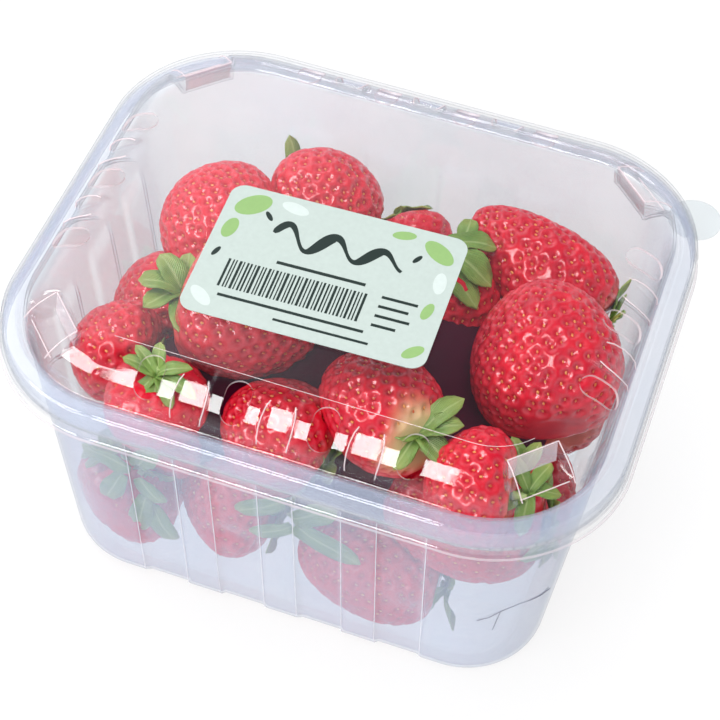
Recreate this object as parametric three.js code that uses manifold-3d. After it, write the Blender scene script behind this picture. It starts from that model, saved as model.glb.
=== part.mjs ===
// A shut clear plastic punnet of strawberries: a tapered tub, a press-on lid with vents,
// a sticker on the lid, and the pile of berries inside.
// Millimetres, +Z up. The origin is the middle of the tub's underside, X runs along the punnet.

import * as THREE from 'three';
import { mergeVertices } from 'three/addons/utils/BufferGeometryUtils.js';
import Module from 'manifold-3d';

const wasm = await Module();
wasm.setup();

// ---------- driving dimensions ----------

// Every wall runs round the same rectangle of corner centres, at its own distance from it.
const CORNER_X = 41;
const CORNER_Y = 29;
const WALL = 0.6;

const TUB_FLOOR_REACH = 15.4;      // the flat floor ends here, measured from the corner centres
const TUB_BASE_REACH = 20;
const TUB_TOP_REACH = 26.4;
const TUB_WALL_FOOT = 3.4;         // height at which the rounded bottom edge ends
const TUB_WALL_TOP = 73;
const FLUTE_DEPTH = 0.9;
const FLUTE_WIDTH = 10;
const FLUTE_TOP = 64;

const LID_REACH = 33.4;            // outer edge of the skirt's lip
const LIP_WIDTH = 1.4;             // how thick the lip is at the foot of the skirt
const SKIRT_BOTTOM = 70.5;
const RIM_TOP = 79;
const DOME_EDGE_REACH = 16.5;
const DOME_TOP = 87;
const SCOOP_WIDTH = 5.8;           // the shallow scoops between the vents
const CORNER_POCKET_ANGLE = 17;    // half the angle that a corner's stacking pocket spans
const CORNER_POCKET_EDGE = 2;      // degrees over which its side sets in, about a wall's thickness
const EDGE_RUN = 0.8;              // how fast a flute or a scoop sets in

const VENT_PITCH = 20;
const LONG_SIDE_VENTS = [-1.5, -0.5, 0.5, 1.5].map((i) => i * VENT_PITCH);
const SHORT_SIDE_VENTS = [-1, 0, 1].map((i) => i * VENT_PITCH);
const VENT_WIDTH = 5.8;
const VENT_LENGTH = 10.2;
const VENT_REACH = 22.1;
const VENT_HEIGHT = 85.7;
const VENT_TILT = 63;              // degrees that a vent's face looks up from the level
const VENT_CUT_DEPTH = 8;

const TAB_RADIUS = 6.5;
const TAB_REACH = 36;
const TAB_ANGLE = 38;
const TAB_RISE = 0.15;             // the tab's underside above the skirt's

const LABEL_LENGTH = 57;
const LABEL_WIDTH = 40;
const LABEL_CORNER = 3.5;
const LABEL_THICKNESS = 0.2;
const LABEL_GAP = 0.1;
const LABEL_X = -4;
const LABEL_Y = -11;
const LABEL_TURN = 2;              // degrees

// Each berry: its calyx end, its tip, its width, how strongly it tapers, its sepals.
const BERRIES = [
  { calyx: [-31, 22, 51], tip: [-57, 21, 60], width: 33, taper: 0.15, sepals: 0 },
  { calyx: [-30, 45, 51], tip: [-10, 29, 62], width: 28, taper: 0.12, sepals: 6 },
  { calyx: [-3, 46, 48], tip: [7, 32, 42], width: 24, taper: 0.2, sepals: 6 },
  { calyx: [56, 27, 53], tip: [17, 42, 62], width: 26, taper: 0.3, sepals: 5 },
  { calyx: [16, 31, 58], tip: [14, 6, 46], width: 29, taper: 0.2, sepals: 6 },
  { calyx: [54, -12, 55], tip: [39, 20, 68], width: 36.5, taper: 0.15, sepals: 6 },
  { calyx: [27, -33, 65], tip: [1, -14, 57], width: 27.5, taper: 0.2, sepals: 6 },
  { calyx: [5, -33, 47], tip: [-17, -30, 57], width: 27, taper: 0.2, sepals: 5 },
  { calyx: [-41, -10, 64], tip: [-6, -7, 60], width: 35, taper: 0.25, sepals: 6 },
  { calyx: [-44, 6, 40], tip: [-62, -3, 41], width: 29, taper: 0.2, sepals: 0 },
  { calyx: [-44, -23, 49], tip: [-63, -20, 53], width: 26.5, taper: 0.2, sepals: 5 },
  { calyx: [-34, -38, 69], tip: [-35, -42, 49], width: 25, taper: 0.2, sepals: 6 },
  { calyx: [51, -35, 60], tip: [30, -37, 58], width: 27, taper: 0.2, sepals: 6 },
  { calyx: [-48, -36, 33], tip: [-37, -41, 6], width: 25, taper: 0.3, sepals: 6 },
  { calyx: [-5, -32, 25], tip: [-31, -31, 26], width: 34.5, taper: 0.25, sepals: 6 },
  { calyx: [37, -34, 14], tip: [0, -36, 15], width: 26, taper: 0.2, sepals: 5 },
  { calyx: [58, -24, 38], tip: [19, -30, 35], width: 31, taper: 0.2, sepals: 5 },
  { calyx: [-37, -43, 38], tip: [-32, -28, 46], width: 21, taper: 0.2, sepals: 5 },
  { calyx: [-50, -14, 15], tip: [-44, 18, 14], width: 26, taper: 0.25, sepals: 0 },
  { calyx: [-24, -8, 15], tip: [-6, 14, 15], width: 27, taper: 0.25, sepals: 0 },
  { calyx: [6, -6, 15], tip: [28, 8, 15], width: 28, taper: 0.25, sepals: 0 },
  { calyx: [46, -18, 15], tip: [50, 14, 15], width: 27, taper: 0.25, sepals: 5 },
  { calyx: [-51, 33, 17], tip: [-26, 36, 14], width: 26, taper: 0.25, sepals: 5 },
  { calyx: [-10, 37, 15], tip: [12, 32, 14], width: 27, taper: 0.25, sepals: 0 },
  { calyx: [22, 35, 15], tip: [48, 33, 16], width: 27, taper: 0.25, sepals: 5 },
  { calyx: [-22, 2, 38], tip: [-4, 16, 36], width: 28, taper: 0.25, sepals: 0 },
  { calyx: [12, -12, 38], tip: [34, 0, 36], width: 29, taper: 0.25, sepals: 0 },
  { calyx: [53, 4, 34], tip: [44, 27, 33], width: 27, taper: 0.25, sepals: 0 },
  { calyx: [-36, 26, 32], tip: [-12, 34, 31], width: 26, taper: 0.25, sepals: 5 },
  { calyx: [8, 19, 31], tip: [27, 35, 34], width: 25, taper: 0.25, sepals: 0 },
];
const BERRY_SIDES = 8;
const BERRY_RINGS = 5;
const CORE_LOBES = [               // the dark inside of the heap, which every berry reaches into
  { centre: [0, 3, 33], halfSize: [50, 36, 29] },
  { centre: [-30, -20, 38], halfSize: [20, 17, 18] },
];
const SEPAL_LENGTH = 0.42;         // as a share of the berry's width
const SEPAL_WIDTH = 0.2;
const SEPAL_THICKNESS = 0.7;
const SEPAL_ROOT = 3.4;            // how deep a sepal starts inside the berry
const CALYX_RADIUS = 1.2;
const FLAT_WITHIN = 0.001;         // triangles that lie this flat are joined in the plastic
const EVEN_WITHIN = 0.03;          // and in the heap

const degrees = THREE.MathUtils.degToRad;
const smooth = THREE.MathUtils.smoothstep;

// ---------- joining and cutting ----------

function toSolid(geometry) {
  const bare = geometry.clone();
  bare.deleteAttribute('normal');
  bare.deleteAttribute('uv');
  const merged = mergeVertices(bare, 1e-4);
  return new wasm.Manifold(new wasm.Mesh({
    numProp: 3,
    vertProperties: new Float32Array(merged.attributes.position.array),
    triVerts: new Uint32Array(merged.index.array),
  }));
}

// Triangles that lie in one plane, as nearly as that, become fewer and larger ones.
const joinFlat = (solid, within) => solid.asOriginal().simplify(within);

function toGeometry(solid) {
  const mesh = solid.getMesh();
  const geometry = new THREE.BufferGeometry();
  geometry.setAttribute('position', new THREE.BufferAttribute(mesh.vertProperties, 3));
  geometry.setIndex(new THREE.BufferAttribute(mesh.triVerts, 1));
  return geometry;
}

// ---------- walls that run round the punnet ----------

// A station is a place on the way round: its base point, its outward direction, and the
// side and offset (or the corner and its angle) that it lies at.
function stationsRound(longOffsets, shortOffsets, cornerAngles) {
  const stations = [];
  const addSide = (side, turn, offsets) => {
    const normal = new THREE.Vector2(Math.cos(turn), Math.sin(turn));
    const along = new THREE.Vector2(-normal.y, normal.x);
    const reach = side === 'short' ? CORNER_X : CORNER_Y;
    for (const offset of offsets) {
      const base = normal.clone().multiplyScalar(reach).addScaledVector(along, offset);
      stations.push({ base, normal, side, offset });
    }
  };
  const addCorner = (turn, signX, signY) => {
    for (const angle of cornerAngles) {
      const direction = turn + degrees(angle);
      const normal = new THREE.Vector2(Math.cos(direction), Math.sin(direction));
      const base = new THREE.Vector2(signX * CORNER_X, signY * CORNER_Y);
      stations.push({ base, normal, side: 'corner', offset: angle - 45 });
    }
  };
  addSide('short', 0, shortOffsets);
  addCorner(0, 1, 1);
  addSide('long', Math.PI / 2, longOffsets);
  addCorner(Math.PI / 2, -1, 1);
  addSide('short', Math.PI, shortOffsets);
  addCorner(Math.PI, -1, -1);
  addSide('long', -Math.PI / 2, longOffsets);
  addCorner(-Math.PI / 2, 1, -1);
  return stations;
}

// A closed shell from loops of points, each anticlockwise about the way they follow each other:
// each loop joins the next, and the two ends are closed by fans round their middles. Where the
// wall turns back, its squares are split the other way, so that both its faces bend alike.
function shellFromLoops(loops, turnBack = Infinity) {
  const count = loops[0].length;
  const positions = loops.flat(2);
  const middle = (loop) => loop.reduce((sum, p) => sum.map((v, k) => v + p[k] / count), [0, 0, 0]);
  const firstMiddle = loops.length * count;
  positions.push(...middle(loops[0]), ...middle(loops.at(-1)));
  const triangles = [];
  for (let i = 0; i < loops.length - 1; i++) {
    for (let j = 0; j < count; j++) {
      const [a, b] = [i * count + j, i * count + (j + 1) % count];
      if (i < turnBack) triangles.push(a, b, a + count, b, b + count, a + count);
      else triangles.push(a, b, b + count, a, b + count, a + count);
    }
  }
  const last = (loops.length - 1) * count;
  for (let j = 0; j < count; j++) {
    const next = (j + 1) % count;
    triangles.push(firstMiddle, next, j);
    triangles.push(firstMiddle + 1, last + j, last + next);
  }
  const geometry = new THREE.BufferGeometry();
  geometry.setAttribute('position', new THREE.Float32BufferAttribute(positions, 3));
  geometry.setIndex(triangles);
  return geometry;
}

// The inner side of a wall: the outer profile moved inwards by the wall's thickness.
function insetProfile(profile) {
  return profile.map(([reach, z], i) => {
    const before = profile[Math.max(i - 1, 0)];
    const after = profile[Math.min(i + 1, profile.length - 1)];
    const along = new THREE.Vector2(after[0] - before[0], after[1] - before[1]).normalize();
    return [reach - along.y * -WALL, z - along.x * WALL];
  });
}

function loopAt(stations, reachAt, heightAt) {
  return stations.map((station) => {
    const reach = reachAt(station);
    return [
      station.base.x + station.normal.x * reach,
      station.base.y + station.normal.y * reach,
      heightAt(station),
    ];
  });
}

// 1 within half a width of one of the centres, 0 outside it, with a short run between.
function bandWeight(offset, centres, width) {
  const distance = Math.min(...centres.map((centre) => Math.abs(offset - centre)));
  return 1 - smooth(distance, width / 2, width / 2 + EDGE_RUN);
}

const bandEdges = (centres, width) => centres.flatMap((centre) => [
  centre - width / 2 - EDGE_RUN, centre - width / 2, centre + width / 2, centre + width / 2 + EDGE_RUN,
]);

// ---------- tub ----------

function fluteWeight(station) {
  if (station.side === 'corner') return 0;
  const centres = station.side === 'long' ? LONG_SIDE_VENTS : SHORT_SIDE_VENTS;
  return bandWeight(station.offset, centres, FLUTE_WIDTH);
}

function makeTub() {
  const stations = stationsRound(
    [-CORNER_X, ...bandEdges(LONG_SIDE_VENTS, FLUTE_WIDTH), CORNER_X],
    [-CORNER_Y, ...bandEdges(SHORT_SIDE_VENTS, FLUTE_WIDTH), CORNER_Y],
    [18, 36, 54, 72],
  );
  const wallReach = (z) => THREE.MathUtils.mapLinear(
    z, TUB_WALL_FOOT, TUB_WALL_TOP, TUB_BASE_REACH, TUB_TOP_REACH);
  const fluteDepthAt = (z) => FLUTE_DEPTH * smooth(z, 0, TUB_WALL_FOOT)
    * (1 - smooth(z, FLUTE_TOP - 5, FLUTE_TOP));
  // The outer face up, over the rim's bead, and the inner face down.
  const beadLoop = 11;
  const profile = [
    [TUB_FLOOR_REACH, 0],
    [18.6, 0.9],
    [wallReach(TUB_WALL_FOOT), TUB_WALL_FOOT],
    [wallReach(FLUTE_TOP - 5), FLUTE_TOP - 5],
    [wallReach(FLUTE_TOP), FLUTE_TOP],
    [TUB_TOP_REACH, TUB_WALL_TOP],
    [27.3, 76.2],
    [30.8, 76.4],
    [30.8, 72.4],
    [31.4, 72.4],
    [31.4, 76.6],
    [31, 77],
    [27.2, 77],
    [26.5, 76.4],
    [TUB_TOP_REACH - WALL, TUB_WALL_TOP + 0.2],
    [wallReach(FLUTE_TOP) - WALL, FLUTE_TOP],
    [wallReach(FLUTE_TOP - 5) - WALL, FLUTE_TOP - 5],
    [wallReach(TUB_WALL_FOOT) - WALL, TUB_WALL_FOOT + 0.2],
    [TUB_FLOOR_REACH - 0.1, WALL],
  ];
  const loops = profile.map(([reach, z]) => loopAt(
    stations,
    (station) => reach - fluteDepthAt(z) * fluteWeight(station),
    () => z,
  ));
  return toGeometry(joinFlat(toSolid(shellFromLoops(loops, beadLoop)), FLAT_WITHIN));
}

// ---------- lid ----------

// From the flat top out over the dome's round shoulder, down its short steep wall, through the
// narrow groove, over the flat rim and down the skirt.
const LID_PROFILE = [
  [DOME_EDGE_REACH, DOME_TOP],
  [20.2, 86.4],
  [23.6, 84.8],
  [26.7, 81.7],
  [27, 78.6],
  [27.7, 78.1],
  [28.4, RIM_TOP],
  [31.8, RIM_TOP],
  [32.4, 78],
  [32.6, 71.8],
  [LID_REACH, 71.3],
];

// In a scoop between two vents the dome's shoulder sits about a millimetre lower.
const SCOOP_PROFILE = [
  [16.4, DOME_TOP],
  [19.9, 85.9],
  [23, 84],
  [25.8, 81],
];

// A stacking pocket is a step in a corner's shoulder: a steep wall down to a flat floor.
const CORNER_PROFILE = [
  [17.6, DOME_TOP],
  [18.3, 86.2],
  [19.4, 80.9],
  [25.2, 80.5],
];

const scoopCentres = (vents) => vents.slice(1).map((vent) => vent - VENT_PITCH / 2);

// A face of the lid's wall. A hollow's side walls stand behind its outer face, so that on the
// inner face each hollow is wider by the wall's thickness.
function lidFace(isInner) {
  return {
    profile: isInner ? insetProfile(LID_PROFILE) : LID_PROFILE,
    scoopWidth: SCOOP_WIDTH + (isInner ? 2 * WALL : 0),
    pocketAngle: CORNER_POCKET_ANGLE + (isInner ? CORNER_POCKET_EDGE : 0),
  };
}

function lidStations({ scoopWidth, pocketAngle }) {
  const edge = pocketAngle + CORNER_POCKET_EDGE;
  const fromMiddle = [pocketAngle / 2, pocketAngle, edge, (edge + 45) / 2];
  return stationsRound(
    [-CORNER_X, ...bandEdges(scoopCentres(LONG_SIDE_VENTS), scoopWidth), CORNER_X],
    [-CORNER_Y, ...bandEdges(scoopCentres(SHORT_SIDE_VENTS), scoopWidth), CORNER_Y],
    [...fromMiddle.map((angle) => 45 - angle).reverse(), 45, ...fromMiddle.map((angle) => 45 + angle)],
  );
}

function lidPoint(profileIndex, { profile, scoopWidth, pocketAngle }, station) {
  const [reach, z] = profile[profileIndex];
  const special = station.side === 'corner' ? CORNER_PROFILE : SCOOP_PROFILE;
  if (profileIndex >= special.length) return [reach, z];
  let weight = 0;
  if (station.side === 'corner') {
    weight = Math.abs(station.offset) <= pocketAngle ? 1 : 0;
  } else {
    const vents = station.side === 'long' ? LONG_SIDE_VENTS : SHORT_SIDE_VENTS;
    weight = bandWeight(station.offset, scoopCentres(vents), scoopWidth);
  }
  const shift = [reach - LID_PROFILE[profileIndex][0], z - LID_PROFILE[profileIndex][1]];
  const [ownReach, ownZ] = special[profileIndex];
  // A flat cut across the corner lies at its chord, so it reaches out less in its middle.
  const chord = station.side === 'corner'
    ? Math.cos(degrees(pocketAngle)) / Math.cos(degrees(station.offset)) : 1;
  return [
    THREE.MathUtils.lerp(reach, ownReach * chord + shift[0], weight),
    THREE.MathUtils.lerp(z, ownZ + shift[1], weight),
  ];
}

function makeVentCutter() {
  const outline = new THREE.Shape();
  const straight = (VENT_LENGTH - VENT_WIDTH) / 2;
  outline.absarc(0, straight, VENT_WIDTH / 2, 0, Math.PI);
  outline.absarc(0, -straight, VENT_WIDTH / 2, Math.PI, 2 * Math.PI);
  const cutter = new THREE.ExtrudeGeometry(outline, {
    depth: VENT_CUT_DEPTH, bevelEnabled: false, curveSegments: 3,
  });
  // A vent looks out and up, square to the middle of the shoulder's curve.
  return cutter.translate(0, 0, -VENT_CUT_DEPTH / 2).rotateX(degrees(90 - VENT_TILT));
}

function makeTab() {
  const tab = new THREE.CylinderGeometry(TAB_RADIUS, TAB_RADIUS, WALL, 24).rotateX(degrees(90));
  const angle = degrees(TAB_ANGLE);
  return tab.translate(
    CORNER_X + TAB_REACH * Math.cos(angle),
    CORNER_Y + TAB_REACH * Math.sin(angle),
    SKIRT_BOTTOM + TAB_RISE + WALL / 2,
  );
}

function lidLoops(face, stations) {
  return LID_PROFILE.map((_, i) => loopAt(
    stations,
    (station) => lidPoint(i, face, station)[0],
    (station) => lidPoint(i, face, station)[1],
  ));
}

function makeLid() {
  const [outer, inner] = [lidFace(false), lidFace(true)];
  const [outerStations, innerStations] = [lidStations(outer), lidStations(inner)];
  const lipLoop = loopAt(outerStations, () => LID_REACH, () => SKIRT_BOTTOM);
  const lipInnerLoop = loopAt(innerStations, () => LID_REACH - LIP_WIDTH, () => SKIRT_BOTTOM);
  const innerLoops = lidLoops(inner, innerStations).slice(0, -1);
  const outerLoops = lidLoops(outer, outerStations).reverse();
  let solid = toSolid(shellFromLoops(
    [...innerLoops, lipInnerLoop, lipLoop, ...outerLoops], innerLoops.length));
  const cutter = makeVentCutter();
  const cutAt = (x, y, turn) => {
    const placed = cutter.clone().rotateZ(turn).translate(x, y, VENT_HEIGHT);
    solid = solid.subtract(toSolid(placed));
  };
  for (const x of LONG_SIDE_VENTS) {
    cutAt(x, -CORNER_Y - VENT_REACH, 0);
    cutAt(x, CORNER_Y + VENT_REACH, Math.PI);
  }
  for (const y of SHORT_SIDE_VENTS) {
    cutAt(CORNER_X + VENT_REACH, y, Math.PI / 2);
    cutAt(-CORNER_X - VENT_REACH, y, -Math.PI / 2);
  }
  return toGeometry(joinFlat(solid.add(toSolid(makeTab())), FLAT_WITHIN));
}

// ---------- label ----------

function makeLabel() {
  const [x, y, r] = [LABEL_LENGTH / 2, LABEL_WIDTH / 2, LABEL_CORNER];
  const outline = new THREE.Shape();
  outline.absarc(x - r, y - r, r, 0, Math.PI / 2);
  outline.absarc(-x + r, y - r, r, Math.PI / 2, Math.PI);
  outline.absarc(-x + r, -y + r, r, Math.PI, 1.5 * Math.PI);
  outline.absarc(x - r, -y + r, r, 1.5 * Math.PI, 2 * Math.PI);
  return new THREE.ExtrudeGeometry(outline, {
    depth: LABEL_THICKNESS, bevelEnabled: false, curveSegments: 2,
  });
}

// ---------- strawberries ----------

// The axes of a berry's own frame: along it towards its tip, and two across it.
function berryFrame(berry) {
  const calyx = new THREE.Vector3(...berry.calyx);
  const tip = new THREE.Vector3(...berry.tip);
  const along = tip.clone().sub(calyx);
  const length = along.length();
  along.normalize();
  const helper = Math.abs(along.z) < 0.9 ? new THREE.Vector3(0, 0, 1) : new THREE.Vector3(1, 0, 0);
  const across = new THREE.Vector3().crossVectors(along, helper).normalize();
  const beside = new THREE.Vector3().crossVectors(along, across);
  return { calyx, along, across, beside, length };
}

function berryRadius(berry, angle) {
  const raw = (a) => Math.sin(a) ** 0.9 * (1 + berry.taper * Math.cos(a));
  let widest = 0;
  for (let a = 0; a < Math.PI; a += 0.01) widest = Math.max(widest, raw(a));
  return berry.width / 2 * raw(angle) / widest;
}

// A berry isn't round: its sides swell a little in two and in three places.
function berryLumps(index, turn) {
  return 1 + 0.04 * Math.cos(2 * turn + 1.7 * index) + 0.025 * Math.cos(3 * turn + 3.4 * index);
}

function makeBerry(berry, index) {
  const { calyx, along, across, beside, length } = berryFrame(berry);
  const loops = [];
  for (let ring = 1; ring <= BERRY_RINGS; ring++) {
    const angle = Math.PI * ring / (BERRY_RINGS + 1);
    const loop = [];
    for (let side = 0; side < BERRY_SIDES; side++) {
      const turn = 2 * Math.PI * side / BERRY_SIDES;
      const radius = berryRadius(berry, angle) * berryLumps(index, turn);
      const point = calyx.clone()
        .addScaledVector(along, length / 2 * (1 - Math.cos(angle)))
        .addScaledVector(across, radius * Math.cos(turn))
        .addScaledVector(beside, radius * Math.sin(turn));
      loop.push(point.toArray());
    }
    loops.push(loop);
  }
  return shellFromLoops(loops);
}

// A sepal starts inside the calyx end, arches out over the berry's shoulder and curls up.
function makeSepal(berry, index, turn, lift) {
  const { calyx, along, across, beside } = berryFrame(berry);
  const out = across.clone().multiplyScalar(Math.cos(turn)).addScaledVector(beside, Math.sin(turn));
  const sideways = new THREE.Vector3().crossVectors(along, out);
  const length = berry.width * SEPAL_LENGTH;
  const width = berry.width * SEPAL_WIDTH;
  const place = (share, half, raise) => calyx.clone()
    .addScaledVector(out, CALYX_RADIUS + length * share)
    .addScaledVector(sideways, half)
    .addScaledVector(along, 1.6 - raise);
  const rise = (share) => 2.4 + lift * length * share ** 2 - 0.12 * length * share;
  const upper = [
    place(-0.15, -width * 0.3, rise(0)),
    place(-0.15, width * 0.3, rise(0)),
    place(0.5, -width * 0.5, rise(0.5)),
    place(0.5, width * 0.5, rise(0.5)),
    place(1, 0, rise(1)),
  ];
  const lower = upper.map((p) => p.clone().addScaledVector(along, SEPAL_THICKNESS));
  lower[0].addScaledVector(along, SEPAL_ROOT);
  lower[1].addScaledVector(along, SEPAL_ROOT);
  const positions = [...upper, ...lower].flatMap((p) => p.toArray());
  const triangles = [
    0, 1, 3, 0, 3, 2, 2, 3, 4,
    5, 8, 6, 5, 7, 8, 7, 9, 8,
    0, 6, 1, 0, 5, 6, 1, 8, 3, 1, 6, 8,
    3, 9, 4, 3, 8, 9, 4, 7, 2, 4, 9, 7,
    2, 5, 0, 2, 7, 5,
  ];
  const geometry = new THREE.BufferGeometry();
  geometry.setAttribute('position', new THREE.Float32BufferAttribute(positions, 3));
  geometry.setIndex(triangles);
  return geometry;
}

function makeCore() {
  const lobes = CORE_LOBES.map(({ centre, halfSize }) => toSolid(
    new THREE.IcosahedronGeometry(1, 1).scale(...halfSize).translate(...centre)));
  return lobes.reduce((core, lobe) => core.add(lobe));
}

// The room that the tub and the lid leave: a berry pressed against them flattens there.
function makeRoom() {
  const stations = stationsRound([-CORNER_X, CORNER_X], [-CORNER_Y, CORNER_Y], [15, 30, 45, 60, 75]);
  const wallGap = WALL + FLUTE_DEPTH + 0.3;
  const profile = [
    [TUB_FLOOR_REACH - 1.5, WALL + 0.3],
    [TUB_BASE_REACH - wallGap - 1, TUB_WALL_FOOT],
    [TUB_BASE_REACH - wallGap, TUB_WALL_FOOT + 2],
    [TUB_TOP_REACH - wallGap, TUB_WALL_TOP],
    [24.2, 78.4],
    [17.6, 79.4],
    [15.2, 82.4],
    [12, DOME_TOP - WALL - 0.5],
  ];
  return shellFromLoops(profile.map(([reach, z]) => loopAt(stations, () => reach, () => z)));
}

function makeStrawberries() {
  let pile = makeCore();
  BERRIES.forEach((berry, index) => {
    pile = pile.add(toSolid(makeBerry(berry, index)));
    for (let k = 0; k < berry.sepals; k++) {
      const turn = 2 * Math.PI * (k + 0.3 * Math.sin(5 * k + index)) / berry.sepals;
      const lift = 0.15 + 0.25 * Math.sin(3 * k + 2 * index);
      pile = pile.add(toSolid(makeSepal(berry, index, turn, lift)));
    }
  });
  // The outer skin alone is kept: hollows closed off between berries are filled, and a leaf's
  // end that the room cuts loose is left out.
  const bodies = pile.intersect(toSolid(makeRoom())).decompose();
  bodies.sort((a, b) => b.volume() - a.volume());
  return toGeometry(joinFlat(bodies[0], EVEN_WITHIN));
}

// ---------- the punnet ----------

const clearPlastic = () => new THREE.MeshStandardMaterial({
  color: 0xdfe4ee, roughness: 0.08, metalness: 0, transparent: true, opacity: 0.3,
});
const paper = new THREE.MeshStandardMaterial({ color: 0xcfe3da, roughness: 0.5, metalness: 0 });
const fruit = new THREE.MeshStandardMaterial({ color: 0xc81e2a, roughness: 0.3, metalness: 0 });

function addPiece(parent, name, geometry, material) {
  const mesh = new THREE.Mesh(geometry, material);
  mesh.name = name;
  parent.add(mesh);
  return mesh;
}

const group = new THREE.Group();
addPiece(group, 'tub', makeTub(), clearPlastic());
addPiece(group, 'lid', makeLid(), clearPlastic());
const label = addPiece(group, 'label', makeLabel(), paper);
label.position.set(LABEL_X, LABEL_Y, DOME_TOP + LABEL_GAP);
label.rotation.z = degrees(LABEL_TURN);
addPiece(group, 'strawberries', makeStrawberries(), fruit);

export default group;
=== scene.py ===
import math
from collections import namedtuple

import bmesh
import bpy
import numpy as np
from mathutils import Matrix, Quaternion, Vector


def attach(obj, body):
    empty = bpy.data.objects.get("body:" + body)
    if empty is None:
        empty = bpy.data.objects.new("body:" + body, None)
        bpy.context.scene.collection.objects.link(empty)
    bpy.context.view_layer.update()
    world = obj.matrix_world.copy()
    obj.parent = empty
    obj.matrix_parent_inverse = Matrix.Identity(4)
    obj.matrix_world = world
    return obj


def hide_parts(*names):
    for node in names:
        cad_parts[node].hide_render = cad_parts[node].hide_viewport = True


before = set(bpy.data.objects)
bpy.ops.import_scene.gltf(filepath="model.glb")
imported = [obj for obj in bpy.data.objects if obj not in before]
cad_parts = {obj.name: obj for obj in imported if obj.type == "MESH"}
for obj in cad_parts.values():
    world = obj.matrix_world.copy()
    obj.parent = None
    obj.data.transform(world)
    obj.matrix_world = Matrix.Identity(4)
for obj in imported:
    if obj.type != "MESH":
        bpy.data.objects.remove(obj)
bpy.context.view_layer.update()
bpy.ops.object.select_all(action="DESELECT")


# ---------- the tub ----------
# A thermoformed tub of thin milky plastic. Its wall runs round one rectangle of corner centres, at a
# reach that grows with height. Flutes stiffen the sides, and a turned-over rim takes the lid.

MM = 0.001                       # the sizes below are in millimetres
CORNER_X, CORNER_Y = 41, 29
WALL = 0.6
FLUTE_DEPTH, FLUTE_WIDTH, FLUTE_TOP = 0.9, 10, 64
FLUTE_RUN = 0.8
WALL_FOOT, WALL_TOP = 3.4, 73
LONG_VENTS = (-30, -10, 10, 30)
SHORT_VENTS = (-20, 0, 20)
TUB_PROFILE = (                  # reach and height, from the floor up the wall and over the rim
    (13, 0), (15.4, 0), (18.6, 0.9), (20, 3.4), (24, 46.9), (25.6, 64.3), (26.4, 73),
    (26.9, 76.3), (27.6, 77), (31, 77), (31.4, 76.6), (31.4, 72.4),
)
TUB_DENTS = (                    # side offset, height, radius and depth of dents in the front wall
    (-13, 33, 7, 0.9), (-39, 11, 6, 0.8), (34, 22, 12, 0.7), (8, 10, 10, 0.5),
)


def smooth_step(value, low, high):
    share = np.clip((value - low) / (high - low), 0, 1)
    return share * share * (3 - 2 * share)


def stations_round(spacing, corner_steps):
    """Places all the way round: base point, outward direction, side (0 corner, 1 short, 2 long), offset."""
    rows = []
    for quarter, (sign_x, sign_y) in enumerate(((1, 1), (-1, 1), (-1, -1), (1, -1))):
        turn = quarter * math.pi / 2
        normal = np.array([math.cos(turn), math.sin(turn)])
        along = np.array([-normal[1], normal[0]])
        half, reach, side = (CORNER_Y, CORNER_X, 1) if quarter % 2 == 0 else (CORNER_X, CORNER_Y, 2)
        for offset in np.linspace(-half, half, round(2 * half / spacing) + 1):
            rows.append((*(normal * reach + along * offset), *normal, side, offset))
        for step in range(1, corner_steps):
            angle = turn + math.pi / 2 * step / corner_steps
            rows.append((sign_x * CORNER_X, sign_y * CORNER_Y, math.cos(angle), math.sin(angle),
                         0, 90 * step / corner_steps - 45))
    return np.array(rows, float)


def band_weight(offset, centres, width, run):
    distance = np.min([np.abs(offset - centre) for centre in centres], axis=0)
    return 1 - smooth_step(distance, width / 2, width / 2 + run)


def side_weight(stations, long_centres, short_centres, width, run):
    """1 in the bands round the centres on the long and short sides, 0 elsewhere and in the corners."""
    side, offset = stations[:, 4], stations[:, 5]
    return ((side == 2) * band_weight(offset, long_centres, width, run)
            + (side == 1) * band_weight(offset, short_centres, width, run))


def rounded(points, radius, steps):
    """Rounds the bends of a profile. Its points are arrays of reach and height, one row a station."""
    result = [points[0]]
    for before, bend, after in zip(points, points[1:], points[2:]):
        to_before, to_after = before - bend, after - bend
        length_before = np.linalg.norm(to_before, axis=1, keepdims=True)
        length_after = np.linalg.norm(to_after, axis=1, keepdims=True)
        cut = np.minimum(radius, 0.48 * np.minimum(length_before, length_after))
        start = bend + to_before / length_before * cut
        end = bend + to_after / length_after * cut
        for share in np.linspace(0, 1, steps + 1):
            result.append((1 - share) ** 2 * start + 2 * share * (1 - share) * bend + share ** 2 * end)
    result.append(points[-1])
    return result


def split_long(points, longest):
    """Adds rows between profile points that lie further apart than that."""
    result = [points[0]]
    for before, after in zip(points, points[1:]):
        count = max(1, math.ceil(float(np.linalg.norm(after - before, axis=1).max()) / longest))
        result += [before + (after - before) * step / count for step in range(1, count + 1)]
    return result


def add_mesh(name, vertices, faces, attributes=None):
    """An object from arrays of vertices in millimetres and of faces, with float point attributes."""
    mesh = bpy.data.meshes.new(name)
    mesh.from_pydata((np.asarray(vertices) * MM).tolist(), [], [list(map(int, face)) for face in faces])
    for key, values in (attributes or {}).items():
        attribute = mesh.attributes.new(key, "FLOAT", "POINT")
        attribute.data.foreach_set("value", np.asarray(values, np.float32))
    mesh.update()
    piece = bpy.data.objects.new(name, mesh)
    bpy.context.scene.collection.objects.link(piece)
    return piece


def only(piece):
    """Selects one piece alone and makes it active."""
    bpy.ops.object.select_all(action="DESELECT")
    piece.select_set(True)
    bpy.context.view_layer.objects.active = piece


def finish_with(piece, kind, **settings):
    """Adds a modifier to the piece and applies it."""
    only(piece)
    bpy.ops.object.modifier_add(type=kind)
    modifier = piece.modifiers[-1]
    for key, value in settings.items():
        setattr(modifier, key, value)
    bpy.ops.object.modifier_apply(modifier=modifier.name)


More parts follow.
